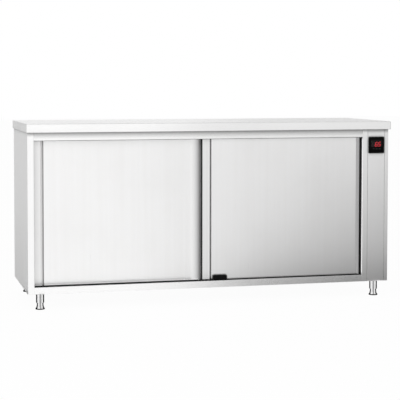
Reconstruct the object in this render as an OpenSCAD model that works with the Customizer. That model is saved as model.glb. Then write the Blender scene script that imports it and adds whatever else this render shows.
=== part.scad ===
// Heated plate cabinet with two hanging sliding doors, a control column and four levelling feet.
// The origin is on the floor under the middle of the worktop. X runs to the right, Y to the back, Z up.

/* [Overall size] */
// Width of the worktop, left to right
top_w = 1800; // [1400:50:2400]
// Depth of the worktop, front to back
top_d = 600; // [560:10:800]
// Height from the floor to the top of the worktop
total_h = 870; // [840:5:950]

/* [Worktop] */
// Height of the folded edge
edge_h = 40; // [34:1:60]
// Thickness of the worktop sheet
top_t = 1.5; // [1:0.1:2.5]
// Width of the lip folded in under the edge
lip_w = 30; // [26:1:36]
// Bend radius along the upper edge
bend_r = 3; // [2:0.5:6]
// How far the worktop stands out at the front
overhang_front = 20; // [10:1:22]
// How far the worktop stands out at each side and at the back
overhang_side = 5; // [2:1:12]
// Width of a stiffener under the worktop
stiffener_w = 60; // [40:5:90]
// Number of stiffeners under the worktop
stiffener_n = 4; // [2:1:6]

/* [Walls] */
// Thickness of the body sheet
sheet = 1.2; // [0.8:0.1:1.6]
// Thickness of the insulated side and back walls, which is also the left stile's width
wall = 30; // [24:1:45]
// Thickness of the insulated roof
roof_t = 30; // [24:1:36]
// Height of the base, which is also the bottom rail's height
base_h = 32; // [30:1:60]

/* [Front] */
// Height of the rail over the doors
fascia_h = 38; // [37:1:60]
// Width of the control column at the right
column_w = 134; // [130:1:180]
// Width of the post between the doors and the control panel
post_w = 26; // [22:1:34]
// Width of the right side's folded front border
border_w = 18; // [14:1:24]
// Gap around the control panel
seam = 1; // [0.4:0.1:1.4]
// Depth of the ledge in front of the bottom track
ledge_d = 18; // [14:1:19]

/* [Doors] */
// How far the front door's face lies behind the front
door_setback = 22; // [21:1:30]
// Thickness of a door
door_t = 20; // [18:1:22]
// Gap between the two doors
door_space = 6; // [5:1:8]
// Gap between the rear door and the warm cabin
door_back_gap = 7; // [6:1:12]
// Gap between a closed door and its stile
door_side_gap = 6; // [4:1:12]
// Thickness of the door sheet
door_sheet = 1; // [0.8:0.1:1.5]
// How far a door's top edge goes up behind the rail
door_tuck = 5; // [3:0.5:6]
// Gap under a door, over the bottom track
door_floor_gap = 3; // [2:0.5:4]

/* [Door grips] */
// Width of the plain strip along a door's left edge
strip_w = 31; // [26:1:45]
// Radius of the rolled bead beside the strip
bead_r = 3; // [2:0.5:3.5]
// Width of the finger groove beside the bead
groove_w = 7.5; // [6:0.5:12]
// Width of the slanted strip along a door's right edge
slant_w = 21; // [16:1:30]
// How far that strip slants back
slant_d = 8; // [5:1:11]

/* [Door running gear] */
// Width of one channel of the top track
channel_w = 21; // [20:0.5:22]
// Height of the top track
track_h = 26; // [25:1:28]
// Thickness of the track's walls and lips
track_t = 1.5; // [1.2:0.1:2]
// Width of the slot between a channel's lips
slot_w = 8; // [7:0.5:9]
// Radius of a roller
roller_r = 9; // [8:0.25:9.5]
// Width of a roller
roller_w = 5.5; // [4.5:0.5:6]
// Radius of a roller axle
axle_r = 2.5; // [2:0.25:3]
// Distance from a door's end to the middle of its hanger
hanger_inset = 90; // [70:5:140]
// Length of a hanger's foot plate
hanger_l = 64; // [50:2:90]
// Width of a hanger's stem
stem_w = 26; // [20:1:34]
// Width of the guide block on the bottom rail
guide_w = 68; // [50:2:90]
// Height of the guide block over the rail
guide_h = 24; // [18:1:34]
// Distance from the front door's left edge to the guide block
guide_offset = 52; // [40:2:80]

/* [Shelf] */
// Height of the shelf over the cabin floor
shelf_h = 320; // [250:10:340]
// Height of the shelf's folded edge
shelf_edge = 25; // [20:1:35]
// Distance between two slots of a shelf upright
slot_pitch = 40; // [30:5:60]

/* [Control] */
// Side of the square controller bezel
bezel_w = 80; // [70:1:86]
// Thickness of the bezel
bezel_t = 5; // [4:0.5:8]
// Distance from the worktop's top down to the middle of the controller
bezel_drop = 118; // [100:2:160]
// Travel of a key
key_travel = 0.6; // [0.4:0.1:0.8]

/* [Fan heater] */
// Inner side of the fan casing
casing_w = 170; // [160:2:176]
// Depth of the fan casing behind the cabin wall
casing_d = 74; // [64:1:76]
// Radius of the fan wheel
fan_r = 55; // [48:1:58]
// Number of fan blades
blade_n = 24; // [12:2:32]
// Radius of the heating ring
ring_r = 72; // [68:1:74]
// Distance from the casing's back to the heating ring
ring_back = 26; // [22:1:32]
// Height of the fan over the cabin floor
fan_h = 505; // [480:5:540]

/* [Legs] */
// Height of the body's underside over the floor
leg_h = 75; // [65:1:130]
// Radius of a leg tube
tube_r = 19; // [16:0.5:22]
// Height of a levelling foot below its tube
foot_h = 32; // [26:1:40]
// Radius of a foot's neck
neck_r = 15.5; // [13:0.5:16]
// Radius of a foot's flared base
flare_r = 21; // [19:0.5:26]
// Distance from the body's side to a leg's middle
leg_inset_x = 60; // [57:1:120]
// Distance from the body's front or back to a leg's middle
leg_inset_y = 34; // [32:1:60]

/* [Hidden] */
$fn = 48;

// Clearances between pieces
gap = 0.3;          // beside or over a piece that moves
running = 0.05;     // round a shaft in its bore
big = 4000;         // longer than anything here, for cuts that run right through

// Body corners
body_l = -top_w / 2 + overhang_side;
body_r = top_w / 2 - overhang_side;
body_f = -top_d / 2 + overhang_front;
body_b = top_d / 2 - overhang_side;
body_z = leg_h;
body_top = total_h - edge_h;

// Door opening and warm cabin
open_l = body_l + wall;
open_r = body_r - column_w;
open_mid = (open_l + open_r) / 2;
open_z = body_z + base_h;
open_top = body_top - fascia_h;
cabin_f = body_f + door_setback + 2 * door_t + door_space + door_back_gap;
cabin_b = body_b - wall;
cabin_top = body_top - roof_t;

// Doors: the front one closes the right half, the rear one the left half
front_y = body_f + door_setback;
rear_y = front_y + door_t + door_space;
track_drop = 4;                       // depth of the bottom track under the rail's top
door_z = open_z - track_drop + door_floor_gap;
door_top = open_top + door_tuck;
guide_x = open_mid + guide_offset;
guide_margin = 12;
front_l = open_mid;
front_r = open_r - door_side_gap;
rear_l = open_l + door_side_gap;
rear_r = guide_x + guide_w + guide_margin;
front_travel = front_r - rear_r + guide_margin / 2;
rear_travel = front_r - rear_r;
groove_l = strip_w + 2 * bead_r;
groove_r = groove_l + groove_w;

// Top track, one channel over each door
track_top = body_top - sheet;
track_z = track_top - track_h;
web = door_t + door_space - channel_w;
roller_z = track_z + track_t + gap + roller_r;
front_mid = front_y + door_t / 2;
rear_mid = rear_y + door_t / 2;
stem_t = slot_w - 3;
hanger_t = 2;

// Bottom rail and track
recess_z = open_z - 17;
recess_f = body_f + ledge_d;
hem = 10;

// Legs
plate_w = 52;
plate_t = 3;
insulation_z = body_z + sheet + plate_t + 0.8;
tube_t = 1.5;
insert_h = 16;
stud_r = 5;
stud_l = 38;
leg_x = [body_l + leg_inset_x, body_r - leg_inset_x];
leg_y = [body_f + leg_inset_y, body_b - leg_inset_y];

// Shelf
shelf_z = open_z + shelf_h;
upright_t = 8;
upright_w = 24;
upright_y = [cabin_f + 65, cabin_b - 65];
bearer_w = 20;
bearer_t = 1.5;

// Control column
column_l = open_r + post_w;
panel_l = column_l + seam;
panel_r = body_r - border_w - seam;
bezel_x = (panel_l + panel_r) / 2;
bezel_z = total_h - bezel_drop;
housing_w = bezel_w - 6;
window_w = 0.76 * bezel_w;
window_h = 0.44 * bezel_w;
window_up = 0.1 * bezel_w;
window_t = 1.6;
key_w = 12;
key_h = 7;
key_down_by = 0.23 * bezel_w;
key_pitch = 0.2 * bezel_w;
face_w = 0.84 * bezel_w;
face_line = 1;

// Fan heater, whose axis runs along X through the cabin's right wall
fan_y = (cabin_f + cabin_b) / 2;
fan_z = open_z + fan_h;
flange_w = casing_w + 30;
casing_back = open_r + casing_d;
shaft_r = 4;
rod_r = 4;
blade_l = 34;
ring_angle = 320;

// Cable gland in the underside of the column
gland_x = (column_l + body_r) / 2;
gland_inset = 110;
gland_y = body_b - gland_inset;
cable_r = 5;
thread_r = 8;

// Points of a folded sheet: path is its outer face, and t its thickness to the left of the path
function unit(v) = v / norm(v);
function left_of(v) = [-v[1], v[0]];
function side(p, i) = left_of(unit(p[i + 1] - p[i]));
function corner(p, i) =
    i == 0 ? side(p, 0) :
    i == len(p) - 1 ? side(p, i - 1) :
    (side(p, i - 1) + side(p, i)) / (1 + side(p, i - 1) * side(p, i));
function folded(p, t) = concat(p, [for (i = [len(p) - 1:-1:0]) p[i] + corner(p, i) * t]);

// A sheet folded along a path seen from above, standing from z0 to z1
module standing(path, t, z0, z1) {
    translate([0, 0, z0]) linear_extrude(z1 - z0) polygon(folded(path, t));
}

// A sheet folded along a path of [y, z] points, running from x0 to x1
module lying(path, t, x0, x1) {
    translate([x0, 0, 0]) rotate([90, 0, 90]) linear_extrude(x1 - x0) polygon(folded(path, t));
}

// A box between two corners
module block(low, high) {
    translate(low) cube(high - low);
}

// A plate in the X-Z plane with rounded corners, its front face at y
module rounded_plate(x, y, z, w, h, t, r) {
    translate([x, y + t, z]) rotate([90, 0, 0]) linear_extrude(t) {
        square([w - 2 * r, h], center = true);
        square([w, h - 2 * r], center = true);
        for (sx = [-1, 1], sz = [-1, 1])
            translate([sx * (w / 2 - r), sz * (h / 2 - r)]) circle(r);
    }
}

// Round bar or bore along X, Y or Z
module bar_x(x0, x1, y, z, r) {
    translate([x0, y, z]) rotate([0, 90, 0]) cylinder(h = x1 - x0, r = r);
}
module bar_y(x, y0, y1, z, r) {
    translate([x, y1, z]) rotate([90, 0, 0]) cylinder(h = y1 - y0, r = r);
}

// Section of the worktop across one axis: a block whose two upper edges are rounded
module crowned(half, z0, z1, r) {
    translate([-half, z0]) square([2 * half, z1 - z0 - r]);
    translate([-half + r, z0]) square([2 * (half - r), z1 - z0]);
    for (s = [-1, 1]) translate([s * (half - r), z1 - r]) circle(r);
}

// The worktop's outer form, or its hollow when t is the sheet's thickness
module top_form(t, z0) {
    r = bend_r - t / 2;
    intersection() {
        rotate([90, 0, 0]) translate([0, 0, -top_d / 2 + t]) linear_extrude(top_d - 2 * t)
            crowned(top_w / 2 - t, z0, total_h - t, r);
        rotate([90, 0, 90]) translate([0, 0, -top_w / 2 + t]) linear_extrude(top_w - 2 * t)
            crowned(top_d / 2 - t, z0, total_h - t, r);
    }
}

// Worktop: one sheet with its edges folded down and a lip folded in under them
module worktop() {
    color("gainsboro") difference() {
        top_form(0, body_top);
        top_form(top_t, body_top + top_t);
        block([-top_w / 2 + lip_w, -top_d / 2 + lip_w, body_top - 1],
              [top_w / 2 - lip_w, top_d / 2 - lip_w, body_top + 2 * top_t]);
    }
}

// Hat-shaped stiffeners between the worktop and the body's upper flanges
module top_stiffeners() {
    flange = 20;
    y0 = -top_d / 2 + lip_w + 1;
    y1 = top_d / 2 - lip_w - 1;
    under = total_h - top_t;
    hat = [[-stiffener_w / 2 - flange, under - sheet], [-stiffener_w / 2, under - sheet],
           [-stiffener_w / 2, body_top], [stiffener_w / 2, body_top],
           [stiffener_w / 2, under - sheet], [stiffener_w / 2 + flange, under - sheet]];
    pitch = (open_r - open_l) / stiffener_n;
    color("lightgray") for (i = [0:stiffener_n - 1])
        translate([open_l + (i + 0.5) * pitch, y1, 0]) rotate([90, 0, 0])
            linear_extrude(y1 - y0) polygon(folded(hat, sheet));
}

// Screws through the back panel into the side panels' rear flanges
screw_r = 2;
screw_x = [body_l + wall / 2, body_r - wall / 2];
screw_n = 4;
screw_end = 60;
function screw_z(i) = body_z + screw_end + i * (body_top - body_z - 2 * screw_end) / (screw_n - 1);
module screw_holes() {
    for (x = screw_x, i = [0:screw_n - 1])
        bar_y(x, body_b - 3 * sheet, body_b + 1, screw_z(i), screw_r + 0.1);
}

// Room that the base panel takes between the outer skins; the folded sheets stand on it
module base_room() {
    block([body_l + sheet, body_f + sheet, body_z], [body_r - sheet, body_b - 2 * sheet, body_z + sheet]);
}

// Left side: outer skin folded round the front as the stile, with a return beside the doors
module left_side_panel() {
    color("silver") difference() {
        standing([[open_l - sheet, body_b - sheet], [body_l, body_b - sheet], [body_l, body_f],
                  [open_l, body_f], [open_l, cabin_f]], sheet, body_z, body_top);
        screw_holes();
        base_room();
    }
}

// Right side: outer skin folded round the front as a narrow border
module right_side_panel() {
    border_l = body_r - border_w;
    color("silver") difference() {
        standing([[body_r - wall + sheet, body_b - sheet], [body_r, body_b - sheet], [body_r, body_f],
                  [border_l, body_f], [border_l, body_f + border_w]], -sheet, body_z, body_top);
        screw_holes();
        base_room();
    }
}

// Post between the door opening and the control panel
module right_post() {
    color("silver") difference() {
        standing([[open_r, cabin_f], [open_r, body_f], [column_l, body_f],
            [column_l, body_f + border_w]], sheet, body_z, body_top);
        base_room();
    }
}

// Inner skins of the warm cabin
module left_liner() {
    color("lightgray") standing([[body_l + sheet, cabin_f], [open_l, cabin_f],
        [open_l, body_b - 4 * sheet]], sheet, body_z + sheet, body_top - sheet);
}
module fan_cut(half, x0, x1) {
    block([x0, fan_y - half, fan_z - half], [x1, fan_y + half, fan_z + half]);
}
module right_liner() {
    color("lightgray") difference() {
        standing([[column_l - sheet, cabin_f], [open_r, cabin_f],
            [open_r, body_b - 4 * sheet]], -sheet, body_z + sheet, body_top - sheet);
        fan_cut(casing_w / 2 + sheet + gap, open_r - 1, open_r + 2 * sheet);
    }
}
module back_liner() {
    color("lightgray") block([open_l, cabin_b, insulation_z], [open_r, cabin_b + sheet, body_top - sheet]);
}
module roof_liner() {
    color("lightgray") lying([[cabin_f, body_top - sheet], [cabin_f, cabin_top], [cabin_b, cabin_top],
        [cabin_b, body_top - sheet]], sheet, open_l, open_r);
}
module cabin_floor() {
    color("lightgray") lying([[cabin_f, open_z], [cabin_b, open_z], [cabin_b, open_z - hem]],
        -sheet, open_l, open_r);
}

// Mineral wool slabs in the walls, roof and floor
module mineral_wool() {
    slab_b = body_b - 4 * sheet;
    color("khaki") {
        block([body_l + sheet, cabin_f + sheet, insulation_z], [open_l - sheet, slab_b, body_top - sheet]);
        block([open_l, cabin_b + sheet, insulation_z], [open_r, body_b - sheet, body_top - sheet]);
        difference() {
            block([open_r + sheet, cabin_f + sheet, insulation_z], [column_l - sheet, slab_b, body_top - sheet]);
            fan_cut(casing_w / 2 + sheet + gap, open_r, column_l);
        }
        block([open_l, cabin_f + sheet, cabin_top + sheet], [open_r, cabin_b - sheet, body_top - sheet]);
        block([open_l, cabin_f + sheet, insulation_z], [open_r, cabin_b - sheet, open_z - sheet]);
    }
}

// Wall between the insulation and the control column
module partition() {
    color("lightgray") difference() {
        block([column_l - sheet, body_f + border_w, body_z + sheet], [column_l, body_b - sheet, body_top - sheet]);
        fan_cut(casing_w / 2 + sheet + gap, column_l - 2 * sheet, column_l + 1);
    }
}

// Control panel: plate with folded sides and a square cut-out for the controller
module control_panel() {
    cut = housing_w / 2 + gap;
    color("silver") difference() {
        standing([[panel_l, body_f + border_w], [panel_l, body_f], [panel_r, body_f],
            [panel_r, body_f + border_w]], sheet, body_z, body_top);
        block([bezel_x - cut, body_f - 1, bezel_z - cut], [bezel_x + cut, body_f + 2 * sheet, bezel_z + cut]);
        base_room();
    }
}

// Back panel with an upper flange and a row of air slots behind the column
louvre_n = 8;
louvre_up = 150;
louvre_z = body_z + louvre_up;
louvre_w = 60;
louvre_h = 6;
louvre_pitch = 16;
module back_panel() {
    color("silver") difference() {
        union() {
            block([body_l, body_b - sheet, body_z], [body_r, body_b, body_top]);
            block([open_l, cabin_b, body_top - sheet], [open_r, body_b, body_top]);
        }
        for (i = [0:louvre_n - 1])
            block([gland_x - louvre_w / 2, body_b - 2 * sheet, louvre_z + i * louvre_pitch],
                  [gland_x + louvre_w / 2, body_b + 1, louvre_z + i * louvre_pitch + louvre_h]);
        screw_holes();
    }
}
module back_screws() {
    head_r = 4;
    head_h = 2;
    tip = 4;
    color("gray") for (x = screw_x, i = [0:screw_n - 1])
        translate([x, body_b - tip, screw_z(i)]) rotate([-90, 0, 0]) {
            cylinder(h = tip, r = screw_r);
            translate([0, 0, tip]) cylinder(h = head_h, r1 = head_r, r2 = head_r - 1.2);
        }
}

// Underside of the body, with a hole for each leg tube and one for the gland
module base_panel() {
    color("silver") difference() {
        base_room();
        for (x = leg_x, y = leg_y)
            translate([x, y, body_z - 1]) cylinder(h = 2 * sheet + 1, r = tube_r + gap);
        translate([gland_x, gland_y, body_z - 1]) cylinder(h = 2 * sheet + 1, r = thread_r + 0.2);
        block([open_l, body_f, body_z - 1], [open_r, body_f + hem, body_z + 2 * sheet]);
    }
}

// Rail over the doors: hem, face and a flange that carries the top track
module top_rail() {
    color("silver") lying([[body_f + 1.4 * hem, open_top], [body_f, open_top], [body_f, body_top],
        [cabin_f, body_top]], -sheet, open_l, open_r);
}

// Bottom rail: hem, face, ledge and the recess that holds the bottom track
module bottom_rail() {
    color("silver") lying([[body_f + hem, body_z], [body_f, body_z], [body_f, open_z],
        [recess_f, open_z], [recess_f, recess_z], [cabin_f, recess_z], [cabin_f, open_z - sheet]],
        -sheet, open_l, open_r);
}

// Top track: two channels side by side, each with a slot between its lips
module top_track() {
    half = channel_w + web / 2 + track_t;
    mid = (front_mid + rear_mid) / 2;
    color("darkgray") translate([open_l, mid, track_z]) rotate([90, 0, 90])
        linear_extrude(open_r - open_l) difference() {
            translate([-half, 0]) square([2 * half, track_h]);
            for (s = [-1, 1]) translate([s * (web + channel_w) / 2, 0]) {
                translate([-channel_w / 2, track_t]) square([channel_w, track_h - 2 * track_t]);
                translate([-slot_w / 2, -1]) square([slot_w, 2 * track_t + 1]);
            }
        }
}

// Rubber-faced stop in the front channel, where the front door's first hanger ends its travel
module track_stop() {
    stop_l = 16;
    x1 = front_l + hanger_inset - front_travel - max(roller_r, stem_w / 2) - gap;
    z0 = track_z + track_t;
    color("dimgray") difference() {
        block([x1 - stop_l, front_mid - channel_w / 2, z0], [x1, front_mid + channel_w / 2, track_top - track_t]);
        translate([x1 - stop_l / 2, front_mid, z0 - 1]) cylinder(h = 6, r = 3);
    }
}

// Black bottom track: a strip with a shallow channel under each door, cut short at the guide block
module bottom_track() {
    y0 = recess_f + 0.2;
    y1 = cabin_f - 0.2;
    top = open_z - track_drop;
    channel_d = 5;
    color("black") difference() {
        block([open_l, y0, recess_z], [open_r, y1, top]);
        for (y = [front_mid, rear_mid])
            block([open_l - 1, y - channel_w / 3, top - channel_d], [open_r + 1, y + channel_w / 3, top + 1]);
        block([guide_x - gap, y0 - 1, recess_z - 1], [guide_x + guide_w + gap, y1 + 1, top + 1]);
    }
}

// One upright wall of the guide block, with rounded upper corners
module guide_wall(y0, y1, z0, z1) {
    r = 6;
    mid = guide_x + guide_w / 2;
    rounded_plate(mid, y0, (z0 + z1) / 2, guide_w, z1 - z0, y1 - y0, r);
    block([guide_x, y0, z0], [guide_x + guide_w, y1, z0 + r + 1]);
}

// Black guide block: three walls on one foot, with a slot for each door's lower edge
module door_guide() {
    slack = 1;
    wall_front = 11;
    top = open_z - track_drop;
    color("black") {
        block([guide_x, recess_f + 0.2, recess_z], [guide_x + guide_w, cabin_f - 0.2, top]);
        block([guide_x, recess_f + 0.2, top], [guide_x + guide_w, front_y - slack, open_z]);
        guide_wall(front_y - slack - wall_front, front_y - slack, open_z, open_z + guide_h);
        guide_wall(front_y + door_t + slack, rear_y - slack, top, open_z + guide_h - 4);
        guide_wall(rear_y + door_t + slack, cabin_f - 0.2, top, open_z + guide_h - 4);
    }
}

// Rubber buffers on the stiles, which the doors meet at the ends of their travel
module door_buffers() {
    r = 4;
    l = door_side_gap - gap;
    edge_mid = (slant_d + door_t) / 2;
    color("black") for (z = [door_z + 90, door_top - 90]) {
        bar_x(open_l, open_l + l, rear_y + door_t / 2, z, r);
        bar_x(open_r - l, open_r, front_y + edge_mid, z, r);
        bar_x(open_r - l, open_r, rear_y + edge_mid, z, r);
    }
}

// Sections of a door's two folded sheets seen from above, with the groove's walls ending at y_end
function pull_path(y_end) = concat(
    [[0, door_t], [0, 0], [strip_w, 0]],
    [for (a = [150:-30:0]) [strip_w + bead_r * (1 + cos(a)), -bead_r * sin(a) * 0.6]],
    [[groove_l, y_end]]);
function skin_path(w, y_end) = [[groove_r, y_end], [groove_r, 0], [w - slant_w, 0], [w, slant_d], [w, door_t]];

// A folded sheet of a door, closed above and below; its groove wall stands on the back sheet
module door_sheet_part(x, y, path, cap) {
    translate([x, y, 0]) {
        standing(path, door_sheet, door_z, door_top);
        for (z = [door_z, door_top - door_sheet])
            translate([0, 0, z]) linear_extrude(door_sheet) polygon(cap);
    }
}

// Pull along a door's left edge: return, plain strip, rolled bead and the groove's near wall
module door_pull(x0, y) {
    color("gainsboro") door_sheet_part(x0, y, pull_path(door_t - door_sheet), pull_path(door_t));
}

// Outer skin of a door, from the groove's far wall to the slanted right edge
module door_skin(x0, x1, y) {
    w = x1 - x0;
    color("whitesmoke") door_sheet_part(x0, y, skin_path(w, door_t - door_sheet), skin_path(w, door_t));
}

// Flat inner sheet of a door, which is also the bottom of the finger groove
module door_back(x0, x1, y) {
    color("lightgray") block([x0 + door_sheet, y + door_t - door_sheet, door_z + door_sheet],
        [x1 - door_sheet, y + door_t, door_top - door_sheet]);
}

// Insulating core of a door, clear of the groove and the slanted edge
module door_core(x0, x1, y) {
    color("khaki") block([x0 + groove_r + door_sheet, y + door_sheet, door_z + door_sheet],
        [x1 - slant_w - door_sheet, y + door_t - door_sheet, door_top - door_sheet]);
}

// A hanger on a door's top edge: foot plate, stem through the track's slot and a bore for the axle
module hanger(x, y) {
    difference() {
        union() {
            block([x - hanger_l / 2, y - 6, door_top], [x + hanger_l / 2, y + 6, door_top + hanger_t]);
            block([x - stem_w / 2, y - stem_t / 2, door_top + hanger_t],
                  [x + stem_w / 2, y + stem_t / 2, roller_z]);
            bar_y(x, y - stem_t / 2, y + stem_t / 2, roller_z, axle_r + 3);
        }
        bar_y(x, y - stem_t, y + stem_t, roller_z, axle_r + running);
    }
    for (s = [-1, 1])
        translate([x + s * (hanger_l / 2 - 8), y, door_top + hanger_t]) cylinder(h = 1.6, r = 3.5);
}
module hangers(x0, x1, y) {
    color("gray") for (x = [x0 + hanger_inset, x1 - hanger_inset]) hanger(x, y);
}

// Two nylon rollers on one steel axle, which turns in its hanger
module rollers(x, y) {
    inner = stem_t / 2 + gap;
    crown = 0.5;
    color("white") translate([x, y, roller_z]) rotate([90, 0, 0]) rotate_extrude()
        polygon([[0, -inner - roller_w - 1], [axle_r, -inner - roller_w - 1], [axle_r, -inner - roller_w],
            [roller_r - crown, -inner - roller_w], [roller_r, -inner - roller_w + crown],
            [roller_r, -inner - crown], [roller_r - crown, -inner], [axle_r, -inner],
            [axle_r, inner], [roller_r - crown, inner], [roller_r, inner + crown],
            [roller_r, inner + roller_w - crown], [roller_r - crown, inner + roller_w],
            [axle_r, inner + roller_w], [axle_r, inner + roller_w + 1], [0, inner + roller_w + 1]]);
}

// Cabin shelf: a tray with folded edges on two bearers, which hang on slotted uprights
module shelf() {
    x0 = open_l + upright_t + 2 * bearer_t;
    x1 = open_r - upright_t - 2 * bearer_t;
    y0 = cabin_f + 12;
    y1 = cabin_b - 12;
    color("lightgray") difference() {
        block([x0, y0, shelf_z - shelf_edge], [x1, y1, shelf_z]);
        block([x0 + sheet, y0 + sheet, shelf_z - shelf_edge + sheet],
              [x1 - sheet, y1 - sheet, shelf_z - sheet]);
        block([x0 + bearer_w, y0 + bearer_w, shelf_z - shelf_edge - 1],
              [x1 - bearer_w, y1 - bearer_w, shelf_z - sheet]);
    }
}
module upright(x, y, way) {
    z0 = open_z + 20;
    z1 = cabin_top - 20;
    n = floor((z1 - z0 - slot_pitch / 2) / slot_pitch);
    face = x + way * upright_t;
    difference() {
        standing([[x, y - upright_w / 2], [face, y - upright_w / 2], [face, y + upright_w / 2],
            [x, y + upright_w / 2]], way * sheet, z0, z1);
        for (i = [0:n])
            block([min(x, face) - 1, y - 3, z0 + 12 + i * slot_pitch],
                  [max(x, face) + 1, y + 3, z0 + 26 + i * slot_pitch]);
    }
}
module shelf_uprights() {
    color("lightgray") for (y = upright_y) {
        upright(open_l, y, 1);
        upright(open_r, y, -1);
    }
}
module bearer(x, way) {
    under = shelf_z - shelf_edge;
    path = [[0, under - bearer_w], [0, under], [way * bearer_w, under]];
    y0 = upright_y[0] - 40;
    y1 = upright_y[1] + 40;
    translate([x, y1, 0]) rotate([90, 0, 0]) linear_extrude(y1 - y0)
        polygon(folded(path, -way * bearer_t));
}
module shelf_bearers() {
    color("darkgray") {
        bearer(open_l + upright_t, 1);
        bearer(open_r - upright_t, -1);
    }
}

// Leg tube welded to its plate inside the base, with a threaded insert in its lower end
module leg_tube(x, y) {
    translate([x, y, 0]) difference() {
        union() {
            translate([0, 0, foot_h]) cylinder(h = body_z + sheet - foot_h, r = tube_r);
            block([-plate_w / 2, -plate_w / 2, body_z + sheet], [plate_w / 2, plate_w / 2, body_z + sheet + plate_t]);
        }
        translate([0, 0, foot_h + insert_h]) cylinder(h = body_z + sheet - foot_h - insert_h, r = tube_r - tube_t);
        translate([0, 0, foot_h - 1]) cylinder(h = insert_h + 2, r = stud_r + running);
    }
}
module leg_tubes() {
    color("silver") for (x = leg_x, y = leg_y) leg_tube(x, y);
}

// Levelling foot: a flared base turned in one piece with its stud
module foot(x, y) {
    rim = 3;
    steps = 8;
    top = foot_h - gap;
    color("gray") translate([x, y, 0]) rotate_extrude() polygon(concat(
        [[0, 0], [flare_r - 2, 0], [flare_r, rim * 0.5]],
        [for (i = [0:steps]) let (u = i / steps)
            [neck_r + (flare_r - neck_r) * pow(1 - u, 2.2), rim + (0.8 * top - rim) * u]],
        [[neck_r + 1, top], [stud_r, top], [stud_r, top + stud_l], [0, top + stud_l]]));
}

// Fan casing: a box through the cabin's right wall with a flange on the cabin side
module fan_casing() {
    half = casing_w / 2;
    color("lightgray") difference() {
        union() {
            fan_cut(half + sheet, open_r - sheet, casing_back + sheet);
            fan_cut(flange_w / 2, open_r - sheet, open_r);
        }
        fan_cut(half, open_r - 2 * sheet, casing_back);
        bar_x(casing_back - 1, casing_back + 2 * sheet, fan_y, fan_z, shaft_r + 2);
        for (a = [0, ring_angle]) bar_x(casing_back - 1, casing_back + 2 * sheet,
            fan_y + ring_r * cos(a - ring_angle / 2), fan_z + ring_r * sin(a - ring_angle / 2), rod_r + gap);
    }
}

// Guard over the fan: a plate with intake slots in a round field and outlet slots round it
module fan_guard() {
    slot = 6;
    pitch = 11;
    field_r = 48;
    vent_l = 90;
    face_x = open_r - sheet;
    color("silver") translate([face_x, fan_y, fan_z]) rotate([0, -90, 0]) linear_extrude(sheet) difference() {
        square(flange_w, center = true);
        intersection() {
            circle(field_r);
            for (i = [-4:4]) translate([i * pitch, 0]) square([slot, 2 * field_r], center = true);
        }
        for (a = [0:90:270], k = [0, 1]) rotate(a)
            translate([field_r + 14 + k * pitch, 0]) square([slot, vent_l], center = true);
    }
}

// Fan motor behind the casing: mounting plate, ribbed body and the bore for the shaft
module fan_motor() {
    plate = 90;
    body_r2 = 34;
    rib_n = 5;
    front = casing_back + sheet;
    l = 42;
    color("dimgray") difference() {
        union() {
            fan_cut(plate / 2, front, front + 2);
            bar_x(front + 2, front + l, fan_y, fan_z, body_r2 - 2);
            for (i = [0:rib_n - 1]) bar_x(front + 7 + i * 7, front + 10 + i * 7, fan_y, fan_z, body_r2);
        }
        bar_x(front - 1, front + l - 6, fan_y, fan_z, shaft_r + running);
    }
}

// Heating ring: an open ring of rod whose two ends turn back through the casing at brazed collars
module ring_heater() {
    collar_r = rod_r + 1;
    x = casing_back - ring_back;
    tail = 22;
    color("dimgray") translate([x, fan_y, fan_z]) {
        rotate([90, 0, 90]) rotate([0, 0, -ring_angle / 2])
            rotate_extrude(angle = ring_angle) translate([ring_r, 0]) circle(rod_r);
        for (a = [-ring_angle / 2, ring_angle / 2]) {
            translate([0, ring_r * cos(a), ring_r * sin(a)]) sphere(collar_r);
            bar_x(0, ring_back + tail, ring_r * cos(a), ring_r * sin(a), rod_r);
        }
    }
}

// Outline of one curved fan blade
function blade(r0, r1, t, sweep) = concat(
    [for (i = [0:4]) let (r = r0 + (r1 - r0) * i / 4, a = sweep * pow(i / 4, 2)) [r * cos(a), r * sin(a)]],
    [for (i = [4:-1:0]) let (r = r0 + (r1 - r0) * i / 4, a = sweep * pow(i / 4, 2) + t) [r * cos(a), r * sin(a)]]);

// Fan wheel: back disc, curved blades, front ring, hub and shaft
module fan_wheel() {
    back = casing_back - 10;
    front = back - blade_l;
    shaft_l = 36;
    color("silver") translate([0, fan_y, fan_z]) rotate([90, 0, 90]) {
        translate([0, 0, back]) cylinder(h = 1.5, r = fan_r);
        translate([0, 0, front - 0.5]) linear_extrude(back - front + 1) for (i = [0:blade_n - 1])
            rotate(i * 360 / blade_n) polygon(blade(0.72 * fan_r, fan_r - 1, 1.6, 14));
        translate([0, 0, front - 1.5]) linear_extrude(1.5) difference() {
            circle(fan_r);
            circle(0.72 * fan_r);
        }
        translate([0, 0, back - 16]) cylinder(h = 16, r1 = 9, r2 = 12);
        translate([0, 0, back - 18]) cylinder(h = 18 + 10 + sheet + shaft_l - 8, r = shaft_r);
    }
}

// Temperature probe in its clip on the cabin's right wall
module temperature_probe() {
    y = fan_y + flange_w / 2 + 20;
    z = fan_z - 40;
    r = 3;
    color("gray") {
        translate([open_r - r - 2, y, z - 25]) cylinder(h = 50, r = r);
        block([open_r - r - 2, y - 5, z - 6], [open_r, y + 5, z + 6]);
    }
}

// Over-temperature limiter: a round switch on a bracket plate on top of the fan casing
module heat_limiter() {
    r = 9;
    x = (column_l + casing_back) / 2;
    z = fan_z + casing_w / 2 + sheet;
    color("dimgray") {
        block([x - 2 * r, fan_y - r, z], [x + 2 * r, fan_y + r, z + 1]);
        translate([x, fan_y, z + 1]) cylinder(h = 8, r = r);
        for (s = [-1, 1]) block([x - 1, fan_y + s * 5 - 3, z + 9], [x, fan_y + s * 5 + 3, z + 18]);
    }
}

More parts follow.
